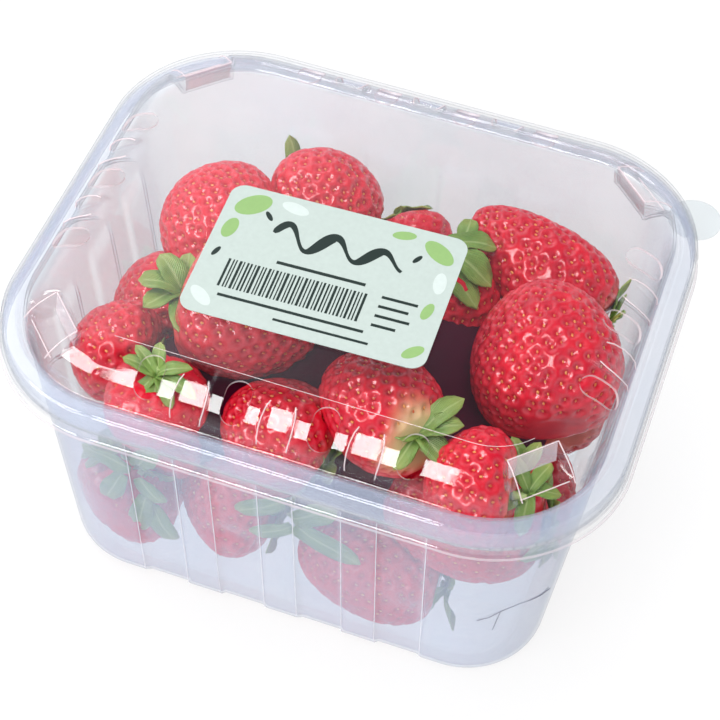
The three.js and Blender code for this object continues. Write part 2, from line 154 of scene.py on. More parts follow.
def wall_sheet(name, stations, rows, cap_last):
    """A sheet through the rows of reach and height, closed by one flat face at one of its ends."""
    count = len(stations)
    base, outward = stations[:, 0:2], stations[:, 2:4]
    vertices = np.concatenate([np.c_[base + outward * row[:, :1], row[:, 1]] for row in rows])
    index = np.arange(count)
    following = (index + 1) % count
    faces = []
    for row in range(len(rows) - 1):
        low, high = row * count, (row + 1) * count
        faces += np.c_[low + index, low + following, high + following, high + index].tolist()
    faces.append(list((len(rows) - 1) * count + index) if cap_last else list(index[::-1]))
    return add_mesh(name, vertices, faces)


def make_tub():
    stations = stations_round(0.7, 20)
    count = len(stations)
    rows = [np.tile(np.array(point, float), (count, 1)) for point in TUB_PROFILE]
    rows = split_long(rounded(rows, 1.8, 3), 2.2)
    flutes = side_weight(stations, LONG_VENTS, SHORT_VENTS, FLUTE_WIDTH, FLUTE_RUN)
    front = (stations[:, 4] == 2) & (stations[:, 3] < 0)
    for row in rows:
        height = row[:, 1].copy()
        depth = smooth_step(height, -1.2, WALL_FOOT) * (1 - smooth_step(height, FLUTE_TOP - 5, FLUTE_TOP))
        row[:, 0] -= FLUTE_DEPTH * depth * flutes
        for offset, centre_height, radius, dent in TUB_DENTS:
            apart = np.hypot(stations[:, 5] - offset, (height - centre_height) * 1.6) / radius
            row[:, 0] -= front * dent * np.exp(-apart ** 2 * 2) * smooth_step(height, 3, 8)
    tub = wall_sheet("tub_shell", stations, rows, cap_last=False)
    finish_with(tub, "SOLIDIFY", thickness=WALL * MM, offset=-1, use_even_offset=True)
    bpy.ops.object.shade_smooth()
    return tub


def new_material(name):
    material = bpy.data.materials.new(name)
    material.use_nodes = True
    material.node_tree.nodes.clear()
    return material, material.node_tree


def plug(tree, value, socket):
    """Gives a socket its value, which is a number, a colour or another node's output."""
    if isinstance(value, bpy.types.NodeSocket):
        tree.links.new(value, socket)
    else:
        socket.default_value = value


def add_node(tree, kind, **values):
    """A node with its settings. Names that are sockets', with _ for each space, give those their values."""
    node = tree.nodes.new(kind)
    for key, value in values.items():
        socket = key.replace("_", " ")
        if socket in node.inputs:
            plug(tree, value, node.inputs[socket])
        else:
            setattr(node, key, value)
    return node


def show(tree, shader):
    """Makes the shader the material's surface."""
    add_node(tree, "ShaderNodeOutputMaterial", Surface=shader.outputs[0])


def calculate(tree, operation, *values, clamped=False):
    node = add_node(tree, "ShaderNodeMath", operation=operation, use_clamp=clamped)
    for value, socket in zip(values, node.inputs):
        plug(tree, value, socket)
    return node.outputs[0]


def spread(tree, value, low, high, result_low=0.0, result_high=1.0, **settings):
    """A value carried over from one range to another."""
    return add_node(tree, "ShaderNodeMapRange", Value=value, From_Min=low, From_Max=high,
                    To_Min=result_low, To_Max=result_high, **settings).outputs["Result"]


def noise(tree, **settings):
    """A cloudy pattern that sits still on the piece."""
    place = add_node(tree, "ShaderNodeTexCoord").outputs["Object"]
    return add_node(tree, "ShaderNodeTexNoise", Vector=place, **settings).outputs["Fac"]


def bumps(tree, height, strength, distance):
    """The surface's direction where it follows a value's rise and fall."""
    return add_node(tree, "ShaderNodeBump", Height=height, Strength=strength, Distance=distance).outputs[0]


def mix_colours(tree, factor, first, second):
    """A colour between two, each given as numbers or as another node's output."""
    blend = add_node(tree, "ShaderNodeMix", data_type="RGBA")
    for socket, value in ((0, factor), (6, first), (7, second)):
        plug(tree, (*value, 1) if isinstance(value, tuple) else value, blend.inputs[socket])
    return blend.outputs[2]


def mix_shaders(tree, factor, first, second):
    blend = add_node(tree, "ShaderNodeMixShader", Fac=factor)
    plug(tree, first.outputs[0], blend.inputs[1])
    plug(tree, second.outputs[0], blend.inputs[2])
    return blend


def clear_plastic(name, tint, haze_low, haze_high, edge_haze, wave_strength):
    """Thin plastic sheet: clear with a haze that catches light, hazier and glossier at a glancing angle."""
    material, tree = new_material(name)
    patches = spread(tree, noise(tree, Scale=28.0, Detail=3.0, Roughness=0.55), 0.3, 0.7, haze_low, haze_high)
    facing = add_node(tree, "ShaderNodeLayerWeight", Blend=0.5).outputs["Facing"]
    edges = calculate(tree, "MULTIPLY_ADD", calculate(tree, "POWER", facing, 3), edge_haze, 0)
    body = mix_shaders(tree, calculate(tree, "ADD", patches, edges, clamped=True),
                       add_node(tree, "ShaderNodeBsdfTransparent"),
                       add_node(tree, "ShaderNodeBsdfDiffuse", Color=(*tint, 1)))
    waves = bumps(tree, noise(tree, Scale=110.0, Detail=2.0), wave_strength, 0.0004)
    shine = calculate(tree, "MULTIPLY_ADD", calculate(tree, "POWER", facing, 5), 0.9, 0.04)
    gloss = add_node(tree, "ShaderNodeBsdfGlossy", Roughness=0.05, Normal=waves)
    show(tree, mix_shaders(tree, shine, body, gloss))
    return material


def stands_for(piece, node):
    """Says what the piece rides on and which solid it replaces."""
    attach(piece, "root")
    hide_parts(node)


tub = make_tub()
tub.data.materials.append(clear_plastic("milky_tub_plastic", (0.55, 0.64, 0.84), 0.13, 0.20, 0.35, 0.15))
stands_for(tub, "tub")


def join(pieces, name):
    bpy.ops.object.select_all(action="DESELECT")
    for piece in pieces:
        piece.select_set(True)
    bpy.context.view_layer.objects.active = pieces[0]
    bpy.ops.object.join()
    pieces[0].name = name
    return pieces[0]


def plain_finish(name, colour, roughness, alpha=1.0, shine=0.5):
    """A plain finish: one colour with a slight mottle, and its gloss."""
    material, tree = new_material(name)
    darker = tuple(0.88 * part for part in colour)
    base = mix_colours(tree, noise(tree, Scale=900.0, Detail=2.0), darker, colour)
    show(tree, add_node(tree, "ShaderNodeBsdfPrincipled", Base_Color=base, Roughness=roughness, Alpha=alpha,
                        Specular_IOR_Level=shine))
    return material


def add_thread(name, points, thickness, material):
    """A fine round line through points in millimetres, as a mesh."""
    curve = bpy.data.curves.new(name, "CURVE")
    curve.dimensions = "3D"
    spline = curve.splines.new("POLY")
    spline.points.add(len(points) - 1)
    for spot, point in zip(spline.points, points):
        spot.co = (*(value * MM for value in point), 1)
    curve.bevel_depth = thickness / 2 * MM
    curve.bevel_resolution = 1
    curve.use_fill_caps = True
    thread = bpy.data.objects.new(name, curve)
    bpy.context.scene.collection.objects.link(thread)
    only(thread)
    bpy.ops.object.convert(target="MESH")
    thread = bpy.context.active_object
    thread.data.materials.clear()
    thread.data.materials.append(material)
    return thread


# Fine pale threads along the front flutes' bent edges are painted highlights, where the bent sheet catches
# light as fine ribs.
RIB_THICKNESS, RIB_LOW, RIB_HIGH = 0.3, 4, 62
RIB_REACH, RIB_LEAN = 19.75, 0.092        # just outside the wall at the floor, and outwards for each mm up
rib_highlight_finish = plain_finish("tub_rib_painted_highlight", (0.92, 0.92, 0.98), 0.25, 0.4)
ribs = []
for centre in LONG_VENTS:
    for edge in (-1, 1):
        offset = centre + edge * (FLUTE_WIDTH / 2 + FLUTE_RUN)
        rib = [(offset, -CORNER_Y - RIB_REACH - RIB_LEAN * height, height) for height in (RIB_LOW, RIB_HIGH)]
        ribs.append(add_thread("rib", rib, RIB_THICKNESS, rib_highlight_finish))
ribs = join(ribs, "tub_rib_highlights")
stands_for(ribs, "tub")

# A forked crack runs across the front wall near its right-hand corner.
CRACK = ((48.7, -50.1, 29.0), (51.2, -49.4, 30.6), (53.5, -48.0, 32.5), (57.0, -44.9, 33.1),
         (59.4, -42.4, 32.7), (60.8, -40.2, 31.8), (62.3, -37.0, 30.9))
CRACK_BRANCH = ((52.3, -47.8, 23.5), (52.9, -48.0, 28.4), (53.5, -48.0, 32.5))
CRACK_THICKNESS, BRANCH_THICKNESS = 0.28, 0.2
crack_finish = plain_finish("crack_edge", (0.30, 0.31, 0.38), 0.4, 0.7)
crack = join([add_thread("crack_line", CRACK, CRACK_THICKNESS, crack_finish),
              add_thread("crack_branch", CRACK_BRANCH, BRANCH_THICKNESS, crack_finish)], "tub_crack")
stands_for(crack, "tub")


# ---------- the lid ----------
# A clear press-on lid: a flat top on a low dome with a round shoulder, a narrow groove, a flat rim and a
# skirt with a thin lip. Vents are cut through the shoulder, with scoops between them, and at each corner
# a stacking pocket steps down into it.

LID_PROFILE = (                  # reach and height, from the lip up over the rim and the dome to the top
    (33.4, 70.5), (33.4, 71.3), (32.6, 71.8), (32.4, 78), (31.8, 79), (28.4, 79), (27.7, 78.1), (27, 78.6),
    (26.7, 81.7), (25.2, 83.5), (23.3, 85), (21.2, 86.1), (18.9, 86.8), (16.5, 87), (10, 87),
)
FIRST_SHAPED = 8                 # the first bend that the scoops and pockets change
SCOOP_PROFILE = (                # the bends from there on in a scoop between two vents
    (25.8, 81), (24.4, 82.6), (22.6, 84.1), (20.7, 85.2), (18.7, 86.2), (16.3, 87),
)
POCKET_PROFILE = (               # in a corner's stacking pocket, with half its width there
    (25, 80.5, 6.4), (22.4, 80.6, 6.3), (19.4, 81, 6.2), (18.6, 85.6, 6.2), (18.2, 86.6, 6.2),
    (17.4, 87, 6.2),
)
SCOOP_WIDTH, SCOOP_RUN = 5.8, 0.8
LONG_SCOOPS, SHORT_SCOOPS = (-20, 0, 20), (-10, 10)
POCKET_ANGLE, POCKET_RUN = 17, 2
LUG_ANGLE, LUG_LOW, LUG_HIGH, LUG_DEPTH, SKIRT_REACH = 34, 73.4, 75.8, 0.45, 32
VENT_WIDTH, VENT_LENGTH, VENT_REACH, VENT_HEIGHT, VENT_TILT = 5.8, 10.2, 22.1, 85.7, 63
VENT_SIDES, VENT_SEARCH = 24, 10
TAB_RADIUS, TAB_REACH, TAB_ANGLE, TAB_BOTTOM, TAB_ROUNDING = 6.5, 36, 38, 70.65, 0.15


def add_primitive(operator, **settings):
    """One plain solid or face, made by that operator and selected alone."""
    bpy.ops.object.select_all(action="DESELECT")
    operator(**settings)
    return bpy.context.active_object


def apply_placing():
    """Applies the place, turn and size of what is selected to its mesh."""
    bpy.ops.object.transform_apply(location=True, rotation=True, scale=True)


def make_lid_sheet():
    stations = stations_round(0.6, 48)
    count = len(stations)
    scoops = side_weight(stations, LONG_SCOOPS, SHORT_SCOOPS, SCOOP_WIDTH, SCOOP_RUN)[:, None]
    in_corner = stations[:, 4] == 0
    angle = np.abs(stations[:, 5])
    flat = np.where(in_corner, math.cos(math.radians(POCKET_ANGLE)) / np.cos(np.radians(
        np.minimum(angle, POCKET_ANGLE))), 1.0)
    rows = []
    for place, point in enumerate(LID_PROFILE):
        row = np.tile(np.array(point, float), (count, 1))
        shaped = place - FIRST_SHAPED
        if 0 <= shaped < len(SCOOP_PROFILE):
            row += (np.array(SCOOP_PROFILE[shaped]) - row) * scoops
            reach, height, half_width = POCKET_PROFILE[shaped]
            edge = math.degrees(math.asin(half_width / reach))
            pocket = (in_corner * (1 - smooth_step(angle, edge, edge + POCKET_RUN)))[:, None]
            row += (np.c_[reach * flat, np.full(count, height)] - row) * pocket
        rows.append(row)
    rows = split_long(rounded(rows, 0.7, 3), 1.6)
    lugs = in_corner * (1 - smooth_step(angle, LUG_ANGLE, LUG_ANGLE + 1.5))
    for row in rows:
        inside = smooth_step(row[:, 1], LUG_LOW, LUG_LOW + 0.4) * (
            1 - smooth_step(row[:, 1], LUG_HIGH - 0.4, LUG_HIGH)) * (row[:, 0] > SKIRT_REACH)
        row[:, 0] += LUG_DEPTH * lugs * inside
    return wall_sheet("lid_shell", stations, rows, cap_last=True)


def vent_places():
    """Each vent's middle and the level direction that it faces."""
    for sign in (-1, 1):
        for offset in LONG_VENTS:
            yield Vector((offset, sign * (CORNER_Y + VENT_REACH), VENT_HEIGHT)) * MM, Vector((0, sign, 0))
        for offset in SHORT_VENTS:
            yield Vector((sign * (CORNER_X + VENT_REACH), offset, VENT_HEIGHT)) * MM, Vector((sign, 0, 0))


def cut_vents(sheet):
    """Cuts each vent's faces free along its outline, one tangent plane after another, and deletes them."""
    mesh = bmesh.new()
    mesh.from_mesh(sheet.data)
    upward = Vector((0, 0, 1))
    tilt = math.radians(VENT_TILT)
    for middle, outward in vent_places():
        slope = upward * math.cos(tilt) - outward * math.sin(tilt)
        level = outward.cross(upward)
        inside = [face for face in mesh.faces
                  if (face.calc_center_median() - middle).length < VENT_SEARCH * MM]
        for step in range(VENT_SIDES):
            angle = 2 * math.pi * step / VENT_SIDES
            normal = level * math.cos(angle) + slope * math.sin(angle)
            straight = math.copysign((VENT_LENGTH - VENT_WIDTH) / 2, math.sin(angle))
            point = middle + (slope * straight + normal * VENT_WIDTH / 2) * MM
            edges = {edge for face in inside for edge in face.edges}
            corners = {corner for face in inside for corner in face.verts}
            cut = bmesh.ops.bisect_plane(mesh, geom=inside + list(edges) + list(corners), dist=1e-8,
                                         plane_co=point, plane_no=normal)
            inside = [face for face in cut["geom"] if isinstance(face, bmesh.types.BMFace)
                      and (face.calc_center_median() - point).dot(normal) < 0]
        bmesh.ops.delete(mesh, geom=inside, context="FACES")
    mesh.to_mesh(sheet.data)
    mesh.free()


lid_plastic = clear_plastic("clear_lid_plastic", (0.34, 0.39, 0.47), 0.002, 0.008, 0.55, 0.04)
tab_plastic = clear_plastic("tab_plastic", (0.40, 0.54, 0.60), 0.12, 0.16, 0.5, 0.04)
# A pale pink finish on the vents' cut edges and on the edge threads: a painted highlight where the plastic's
# edges catch light.
edge_highlight = plain_finish("lid_edge_painted_highlight", (1.0, 0.84, 0.86), 0.2, 0.4)
lid = make_lid_sheet()
cut_vents(lid)
lid.data.materials.append(lid_plastic)
lid.data.materials.append(edge_highlight)
finish_with(lid, "SOLIDIFY", thickness=WALL * MM, offset=-1, use_even_offset=True, material_offset_rim=1)
tab_turn = math.radians(TAB_ANGLE)
tab = add_primitive(
    bpy.ops.mesh.primitive_cylinder_add, vertices=64, radius=TAB_RADIUS * MM, depth=WALL * MM,
    location=((CORNER_X + TAB_REACH * math.cos(tab_turn)) * MM,
              (CORNER_Y + TAB_REACH * math.sin(tab_turn)) * MM, (TAB_BOTTOM + WALL / 2) * MM))
apply_placing()
tab.data.materials.append(tab_plastic)
finish_with(tab, "BEVEL", width=TAB_ROUNDING * MM, segments=2)
lid = join([lid, tab], "lid_shell")
bpy.ops.object.shade_smooth_by_angle(angle=math.radians(50))
stands_for(lid, "lid")

# The crease is a fine raised line that the mould leaves on the flat top, along its front edge; its pale
# finish is a painted highlight along it.
CREASE_REACH, CREASE_THICKNESS, CREASE_END, LID_TOP = 15.3, 0.16, 52, 87
crease_points = [(x, -CORNER_Y - CREASE_REACH) for x in np.linspace(-CORNER_X, CORNER_X, 24)]
for turn in np.radians(np.linspace(0, CREASE_END, 10)[1:]):
    crease_points.append((CORNER_X + CREASE_REACH * math.sin(turn),
                          -CORNER_Y - CREASE_REACH * math.cos(turn)))
crease = add_thread("lid_crease", [(x, y, LID_TOP) for x, y in crease_points], CREASE_THICKNESS, edge_highlight)
stands_for(crease, "lid")

# Pale threads along the sides of the scoops and round the corner pockets are painted highlights where the
# sheet catches light, and a pale pane across each pocket's back is a painted reflection.
EDGE_LINE = (                    # reach, height and share of the scoop's half width along a scoop's side
    (19.6, 86.7, 0.8), (21.2, 86.1, 0.96), (23.3, 85, 1.04), (25.2, 83.5, 1.05), (26.6, 81.8, 1.0),
    (26.9, 80.0, 0.96),
)
SCOOP_EDGE, EDGE_THICKNESS, PANE_THICKNESS = 3.55, 0.34, 0.15
edges = []
for sign in (-1, 1):
    for side in (-1, 1):
        for centre in LONG_SCOOPS:
            points = [(centre + side * SCOOP_EDGE * share, sign * (CORNER_Y + reach), height)
                      for reach, height, share in EDGE_LINE]
            edges.append(add_thread("scoop_edge", points, EDGE_THICKNESS, edge_highlight))
        for centre in SHORT_SCOOPS:
            points = [(sign * (CORNER_X + reach), centre + side * SCOOP_EDGE * share, height)
                      for reach, height, share in EDGE_LINE]
            edges.append(add_thread("scoop_edge", points, EDGE_THICKNESS, edge_highlight))
POCKET_EDGES = (                 # distance along the diagonal, across it, and height
    ((17.8, -6.2, 86.8), (20, -6.2, 86.1), (22.2, -6.3, 85), (24.2, -6.4, 83.5), (25.9, -6.4, 81.7)),
    ((17.8, 6.2, 86.8), (20, 6.2, 86.1), (22.2, 6.3, 85), (24.2, 6.4, 83.5), (25.9, 6.4, 81.7)),
    ((17.8, -6.2, 86.8), (17.8, 6.2, 86.8)),
    ((24.4, -6, 80.6), (24.4, 6, 80.6)),
)
# A pale pane across the back of each corner pocket is a painted reflection in its wall.
POCKET_BACK = ((17.8, -6.0, 86.8), (17.8, 6.0, 86.8), (18.7, 5.8, 81.2), (18.7, -5.8, 81.2))
pocket_reflection_finish = plain_finish("lid_pocket_painted_reflection", (0.92, 0.82, 0.86), 0.2, 0.3)


def at_corner(sign_x, sign_y, line):
    """Points along and across a corner's diagonal as places."""
    return [(sign_x * (CORNER_X + (along + across) * math.sqrt(0.5)),
             sign_y * (CORNER_Y + (along - across) * math.sqrt(0.5)), height)
            for along, across, height in line]


for sign_x in (-1, 1):
    for sign_y in (-1, 1):
        for line in POCKET_EDGES:
            edges.append(add_thread("pocket_edge", at_corner(sign_x, sign_y, line), EDGE_THICKNESS, edge_highlight))
        pane = add_mesh("pocket_back", at_corner(sign_x, sign_y, POCKET_BACK), [(0, 1, 2, 3)])
        pane.data.materials.append(pocket_reflection_finish)
        finish_with(pane, "SOLIDIFY", thickness=PANE_THICKNESS * MM, offset=0)
        edges.append(pane)
edges = join(edges, "lid_edges")
stands_for(edges, "lid")


# ---------- the strawberries ----------
# Uneven ripe berries, heaped as they fell in. Each is a swollen cone with pits in its skin, and a
# berry pressed against the plastic is flat there. The gaps between them close on a dark core of painted
# shade.

Berry = namedtuple("Berry", "calyx_end tip width taper sepals fineness")
BERRIES = (
    Berry((-31, 22, 51), (-57, 21, 60), 33, 0.15, 0, 2),
    Berry((-30, 45, 51), (-10, 29, 62), 28, 0.12, 6, 2),
    Berry((-3, 46, 48), (7, 32, 42), 24, 0.2, 6, 1),
    Berry((56, 27, 53), (17, 42, 62), 26, 0.3, 5, 2),
    Berry((16, 31, 58), (14, 6, 46), 29, 0.2, 6, 2),
    Berry((54, -12, 55), (39, 20, 68), 36.5, 0.15, 6, 2),
    Berry((27, -33, 65), (1, -14, 57), 27.5, 0.2, 6, 2),
    Berry((5, -33, 47), (-20, -31, 57), 28, 0.2, 5, 2),
    Berry((-41, -10, 64), (-6, -7, 60), 35, 0.25, 6, 2),
    Berry((-44, 6, 40), (-62, -3, 41), 29, 0.2, 0, 2),
    Berry((-44, -23, 49), (-63, -20, 53), 26.5, 0.2, 5, 2),
    Berry((-34, -38, 69), (-35, -42, 49), 25, 0.2, 6, 1),
    Berry((51, -35, 60), (30, -37, 58), 27, 0.2, 6, 2),
    Berry((-48, -36, 33), (-37, -41, 6), 25, 0.3, 6, 1),
    Berry((-5, -32, 25), (-31, -31, 26), 34.5, 0.25, 6, 2),
    Berry((37, -34, 14), (0, -36, 15), 26, 0.2, 5, 2),
    Berry((58, -24, 38), (19, -30, 35), 31, 0.2, 5, 2),
    Berry((-37, -43, 38), (-32, -28, 46), 21, 0.2, 5, 1),
    Berry((-50, -14, 15), (-44, 18, 14), 26, 0.25, 0, 0),
    Berry((-24, -8, 15), (-6, 14, 15), 27, 0.25, 0, 0),
    Berry((6, -6, 15), (28, 8, 15), 28, 0.25, 0, 0),
    Berry((46, -18, 15), (50, 14, 15), 27, 0.25, 5, 1),
    Berry((-51, 33, 17), (-26, 36, 14), 26, 0.25, 5, 1),
    Berry((-10, 37, 15), (12, 32, 14), 27, 0.25, 0, 1),
    Berry((22, 35, 15), (48, 33, 16), 27, 0.25, 5, 1),
    Berry((-22, 2, 38), (-4, 16, 36), 28, 0.25, 0, 0),
    Berry((12, -12, 38), (34, 0, 36), 29, 0.25, 0, 0),
    Berry((53, 4, 34), (44, 27, 33), 27, 0.25, 0, 1),
    Berry((-36, 26, 32), (-12, 34, 31), 26, 0.25, 5, 1),
    Berry((8, 19, 31), (27, 35, 34), 25, 0.25, 0, 1),
)
SKIN_SPACING = (1.5, 0.9, 0.5)   # distance between skin points, by how finely a berry is made
SEED_SPACING, SEED_ASTRAY = 3.3, 0.14
PIT_DEPTH, PIT_RADIUS, PUFF, HIGHLIGHT_RING_RADIUS = 0.75, 0.9, 0.3, 1.25
HOLLOW_DEPTH, HOLLOW_ANGLE = 1.8, 0.38
PALENESS = {5: 0.0, 6: 0.9, 12: 0.2, 16: 0.0}       # how white a berry is round its calyx
# Berry 3 is given a deeper red than the others, past the range they take.
DARKEST, DARKEST_TONE = 3, 1.2
NO_STALK = 5                     # this berry's stalk came off
GOLDEN_TURN = math.pi * (3 - math.sqrt(5))
ROOM_PROFILE = (                 # height, and the reach that is free there along the sides and in the corners
    (0.9, 13.9, 13.9), (3.4, 17.2, 17.2), (5.4, 18.2, 18.2), (73, 24.6, 24.6), (78.4, 24.2, 24.2),
    (79.4, 24.1, 17.6), (81, 23.6, 16.5), (83.2, 21.3, 15.2), (84.8, 17.6, 13.4), (85.9, 12, 12),
)
random = np.random.default_rng(7)


def keep_in_room(points):
    """Moves points that stick into the plastic back to where the berry touches it."""
    points = points.copy()
    heights, side_reaches, corner_reaches = zip(*ROOM_PROFILE)
    points[:, 2] = np.clip(points[:, 2], heights[0], heights[-1])
    corner = np.sign(points[:, :2]) * np.minimum(np.abs(points[:, :2]), (CORNER_X, CORNER_Y))
    beyond = points[:, :2] - corner
    reach = np.linalg.norm(beyond, axis=1)
    cornerness = 2 * np.abs(beyond[:, 0] * beyond[:, 1]) / np.maximum(reach, 1e-9) ** 2
    side_free = np.interp(points[:, 2], heights, side_reaches)
    corner_free = np.interp(points[:, 2], heights, corner_reaches)
    free = side_free + (corner_free - side_free) * smooth_step(cornerness, 0.1, 0.6)
    scale = np.where(reach > free, free / np.maximum(reach, 1e-9), 1.0)
    points[:, :2] = corner + beyond * scale[:, None]
    return points


def berry_axes(berry):
    """Calyx end, the directions along the berry, across it and beside both, and its length."""
    calyx, tip = np.array(berry.calyx_end, float), np.array(berry.tip, float)
    length = np.linalg.norm(tip - calyx)
    along = (tip - calyx) / length
    helper = np.array([0, 0, 1.0]) if abs(along[2]) < 0.9 else np.array([1.0, 0, 0])
    across = np.cross(along, helper)
    across /= np.linalg.norm(across)
    return calyx, along, across, np.cross(along, across), length


def berry_radius(berry, angle):
    width, taper = berry.width, berry.taper
    every = np.arange(0, math.pi, 0.01)
    widest = (np.sin(every) ** 0.9 * (1 + taper * np.cos(every))).max()
    return width / 2 * np.abs(np.sin(angle)) ** 0.9 * (1 + taper * np.cos(angle)) / widest


def berry_point(berry, index, angle, turn):
    """The skin before its pits: angle runs from the calyx end to the tip, turn goes round."""
    calyx, along, across, beside, length = berry_axes(berry)
    lumps = 1 + 0.04 * np.cos(2 * turn + 1.7 * index) + 0.025 * np.cos(3 * turn + 3.4 * index)
    swell = 1 + 0.018 * np.sin(3 * angle + 2.1 * index) * np.cos(4 * turn + index)
    radius = berry_radius(berry, angle) * lumps * swell
    depth = length / 2 * (1 - np.cos(angle)) + HOLLOW_DEPTH * np.exp(-(angle / HOLLOW_ANGLE) ** 2)
    return (calyx + along * depth[..., None]
            + (across * np.cos(turn)[..., None] + beside * np.sin(turn)[..., None]) * radius[..., None])


def berry_normal(berry, index, angle, turn):
    small = 1e-3
    down = berry_point(berry, index, angle + small, turn) - berry_point(berry, index, angle - small, turn)
    round_ = berry_point(berry, index, angle, turn + small) - berry_point(berry, index, angle, turn - small)
    normal = np.cross(down, round_)
    normal /= np.maximum(np.linalg.norm(normal, axis=-1, keepdims=True), 1e-12)
    middle = berry_axes(berry)
    centre = middle[0] + middle[1] * middle[4] / 2
    outward = np.sum(normal * (berry_point(berry, index, angle, turn) - centre), axis=-1, keepdims=True)
    return normal * np.where(outward < 0, -1, 1)


def seed_places(berry):
    """The angle and turn of each seed: even over the skin, closer set towards the tip, a little astray."""
    angle = np.linspace(0.42, math.pi - 0.1, 300)
    length = berry_axes(berry)[4]
    radius = berry_radius(berry, angle)
    step = np.hypot(np.gradient(radius), np.gradient(length / 2 * (1 - np.cos(angle))))
    share = np.cumsum(2 * math.pi * radius * step * (0.8 + 0.5 * angle / math.pi))
    count = int(share[-1] / (0.866 * SEED_SPACING ** 2))
    order = (np.arange(count) + 0.5) / count * share[-1]
    seed_angle = np.interp(order, share, angle)
    astray = random.normal(0, SEED_ASTRAY * SEED_SPACING, (2, count))
    seed_turn = np.arange(count) * GOLDEN_TURN + astray[0] / np.maximum(berry_radius(berry, seed_angle), 2)
    return seed_angle + astray[1] / (berry.width / 2), seed_turn


def inside_others(points, skip, share):
    """Which points lie well inside another berry."""
    hidden = np.zeros(len(points), bool)
    for index, berry in enumerate(BERRIES):
        if index == skip:
            continue
        calyx, along, _, _, length = berry_axes(berry)
        offset = points - calyx
        depth = offset @ along
        radial = np.linalg.norm(offset - depth[:, None] * along, axis=1)
        angle = np.arccos(np.clip(1 - 2 * depth / length, -1, 1))
        hidden |= (depth > 0) & (depth < length) & (radial < share * berry_radius(berry, angle))
    return hidden


def make_skin(berry, index, seeds):
    """One berry's skin with a pit at each seed: its points, its faces and its attributes."""
    spacing = SKIN_SPACING[berry.fineness]
    sides = int(math.pi * berry.width / spacing)
    rings = int(1.5 * (berry_axes(berry)[4] + 0.3 * berry.width) / spacing)
    angle, turn = np.meshgrid(np.linspace(0, math.pi, rings + 1)[1:-1],
                              np.arange(sides) * 2 * math.pi / sides, indexing="ij")
    angle, turn = angle.ravel(), turn.ravel()
    ends = np.array([1e-4, math.pi - 1e-4])
    angle, turn = np.r_[angle, ends], np.r_[turn, 0, 0]
    points = berry_point(berry, index, angle, turn)
    squares = ((points ** 2).sum(1)[:, None] + (seeds ** 2).sum(1)[None] - 2 * points @ seeds.T)
    nearest = np.sqrt(np.maximum(squares.min(1), 0))
    pit = np.exp(-(nearest / PIT_RADIUS) ** 2)
    normal = berry_normal(berry, index, np.clip(angle, 2e-3, math.pi - 2e-3), turn)
    puff = PUFF * smooth_step(nearest, 0.7, 2.0)
    shade = smooth_step(angle, 0.1, 0.5)
    points = points + normal * ((puff - PIT_DEPTH * pit) * shade)[:, None]
    points = keep_in_room(points)
    rows = len(points) - 2
    faces = []
    index_round = np.arange(sides)
    following = (index_round + 1) % sides
    for ring in range(rings - 2):
        low, high = ring * sides, (ring + 1) * sides
        faces += np.c_[low + index_round, high + index_round, high + following, low + following].tolist()
    last = (rings - 2) * sides
    faces += [(rows, first, second) for first, second in zip(index_round, following)]
    faces += [(rows + 1, last + second, last + first) for first, second in zip(index_round, following)]
    pale = 1 - smooth_step(angle, 0.25, 0.8 + 0.15 * np.sin(3 * turn + index))
    # Painted highlight: a lighter ring round each pit's rim, and the pit value also sets painted shade in the
    # pits.
    ring = np.exp(-((nearest - HIGHLIGHT_RING_RADIUS) / 0.3) ** 2) * shade
    white = PALENESS.get(index, 0.1 + 0.1 * math.sin(index))
    red_depth = DARKEST_TONE if index == DARKEST else index * 0.37 % 1
    return points, faces, {"pit": pit, "ring": ring, "pale": pale * white,
                           "red_depth": np.full(len(points), red_depth)}


SEED_SHAPE = (                   # a seed's outline: place along it, half width, half thickness
    (-1.0, 0.0, 0.0), (-0.35, 0.95, 0.95), (0.45, 0.8, 0.85), (1.05, 0.0, 0.0),
)
SEED_SIDES = 6
SEED_LENGTH, SEED_WIDTH, SEED_THICKNESS, SEED_LIFT = 0.52, 0.3, 0.24, 0.14
BURIED = 0.93                    # seeds this far inside another berry, as a share of its radius, are left out


def make_seeds(berry, index, angle, turn):
    """The seeds of one berry, each lying in its pit and pointing to the tip."""
    surface = keep_in_room(berry_point(berry, index, angle, turn))
    normal = berry_normal(berry, index, angle, turn)
    shown = ~inside_others(surface, index, BURIED)
    surface, normal = surface[shown], normal[shown]
    along = berry_axes(berry)[1] - normal * (normal @ berry_axes(berry)[1])[:, None]
    along /= np.maximum(np.linalg.norm(along, axis=1, keepdims=True), 1e-9)
    side = np.cross(normal, along)
    centre = surface - normal * (PIT_DEPTH - SEED_LIFT)
    size = random.uniform(0.8, 1.15, len(centre))[:, None]
    points, faces = [], []
    for place, half_width, half_thickness in SEED_SHAPE:
        sides = 1 if half_width == 0 else SEED_SIDES
        for step in range(sides):
            turned = 2 * math.pi * step / sides
            points.append(centre + size * (
                along * place * SEED_LENGTH
                + side * half_width * SEED_WIDTH * math.cos(turned)
                + normal * half_thickness * SEED_THICKNESS * math.sin(turned)))
    points = np.stack(points, axis=1)
    rings = len(SEED_SHAPE) - 2
    pattern = []
    for step in range(SEED_SIDES):
        after = (step + 1) % SEED_SIDES
        pattern.append((0, 1 + after, 1 + step))
        for ring in range(rings - 1):
            low, high = 1 + ring * SEED_SIDES, 1 + (ring + 1) * SEED_SIDES
            pattern.append((low + step, low + after, high + after, high + step))
        last = 1 + (rings - 1) * SEED_SIDES
        pattern.append((last + step, last + after, 1 + rings * SEED_SIDES))
    each = points.shape[1]
    for number in range(len(points)):
        faces += [tuple(corner + number * each for corner in face) for face in pattern]
    tone = np.repeat(random.uniform(0, 1, len(points)), each)
    return points.reshape(-1, 3), faces, {"tone": tone}


